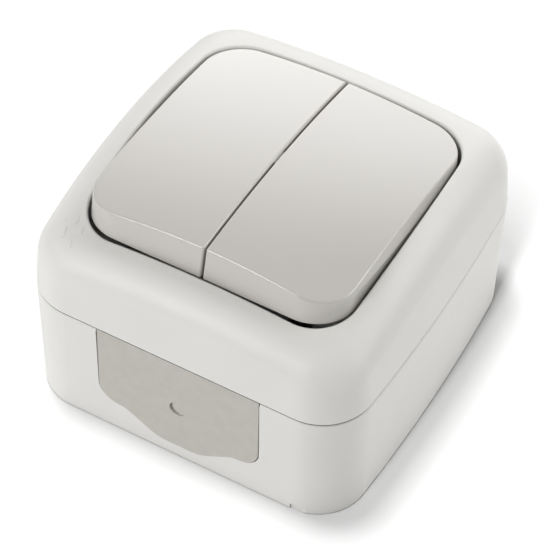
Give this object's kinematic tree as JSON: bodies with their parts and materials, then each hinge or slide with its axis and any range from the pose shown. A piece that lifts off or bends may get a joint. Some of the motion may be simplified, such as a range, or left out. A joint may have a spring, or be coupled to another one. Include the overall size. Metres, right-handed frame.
{
  "type": "outdoor weatherproof switch",
  "caption": "Surface-mounted weatherproof light switch with twin side-by-side rockers in a softly rounded square box with a rubber cable entry seal.",
  "frame": {"origin": "centre of the back face that lies against the wall", "axes": "+Z out of the wall towards the rockers, -Y towards the cable entry (down when mounted), +X to the right"},
  "size_m": [0.066, 0.0674, 0.0465],
  "materials": {
    "housing_plastic": "fine spark-eroded texture",
    "rocker_plastic": "polished",
    "carrier_plastic": "moulded",
    "insert_plastic": "moulded",
    "seal_rubber": "matte",
    "contact_brass": "stamped",
    "plated_steel": "zinc plated"
  },
  "bodies": {
    "housing": {"base_box": "housing_plastic", "cover_frame": "housing_plastic", "insert_body": "insert_plastic", "insert_top": "insert_plastic", "cable_seal": "seal_rubber", "cover_gasket": "seal_rubber", "splash_seal": "seal_rubber", "common_contact": "contact_brass", "load_contact_left": "contact_brass", "load_contact_right": "contact_brass", "terminal_common": "contact_brass", "terminal_load_left": "contact_brass", "terminal_load_right": "contact_brass", "cover_screw_left": "plated_steel", "cover_screw_right": "plated_steel", "insert_screw_left": "plated_steel", "insert_screw_right": "plated_steel", "terminal_screw_common": "plated_steel", "terminal_screw_load_left": "plated_steel", "terminal_screw_load_right": "plated_steel"},
    "left_rocker_body": {"rocker_left": "rocker_plastic", "carrier_left": "carrier_plastic", "plunger_spring_left": "plated_steel"},
    "left_plunger_body": {"plunger_left": "carrier_plastic"},
    "left_lever_body": {"contact_lever_left": "contact_brass"},
    "right_rocker_body": {"rocker_right": "rocker_plastic", "carrier_right": "carrier_plastic", "plunger_spring_right": "plated_steel"},
    "right_plunger_body": {"plunger_right": "carrier_plastic"},
    "right_lever_body": {"contact_lever_right": "contact_brass"}
  },
  "joints": [
    {"name": "rocker_left_tilt", "type": "hinge", "parent": "housing", "child": "left_rocker_body", "pos_m": [-0.0106, 0, 0.039], "axis": [1, 0, 0], "range_deg": [0, 11]},
    {"name": "plunger_left_slide", "type": "slide", "parent": "left_rocker_body", "child": "left_plunger_body", "axis": [0, 0.0958, 0.9954], "range_m": [0, 0.001], "stiffness_N_per_m": 600, "springref_m": -0.003, "deforming": ["plunger_spring_left"]},
    {"name": "contact_left_rock", "type": "hinge", "parent": "housing", "child": "left_lever_body", "pos_m": [-0.0106, 0, 0.017], "axis": [1, 0, 0], "range_deg": [-16, 0]},
    {"name": "rocker_right_tilt", "type": "hinge", "parent": "housing", "child": "right_rocker_body", "pos_m": [0.0106, 0, 0.039], "axis": [1, 0, 0], "range_deg": [0, 11]},
    {"name": "plunger_right_slide", "type": "slide", "parent": "right_rocker_body", "child": "right_plunger_body", "axis": [0, 0.0958, 0.9954], "range_m": [0, 0.001], "stiffness_N_per_m": 600, "springref_m": -0.003, "deforming": ["plunger_spring_right"]},
    {"name": "contact_right_rock", "type": "hinge", "parent": "housing", "child": "right_lever_body", "pos_m": [0.0106, 0, 0.017], "axis": [1, 0, 0], "range_deg": [-16, 0]}
  ],
  "couplings": [
    {"joint": "contact_left_rock", "follows": "rocker_left_tilt", "ratio": -1.4545},
    {"joint": "contact_right_rock", "follows": "rocker_right_tilt", "ratio": -1.4545}
  ]
}
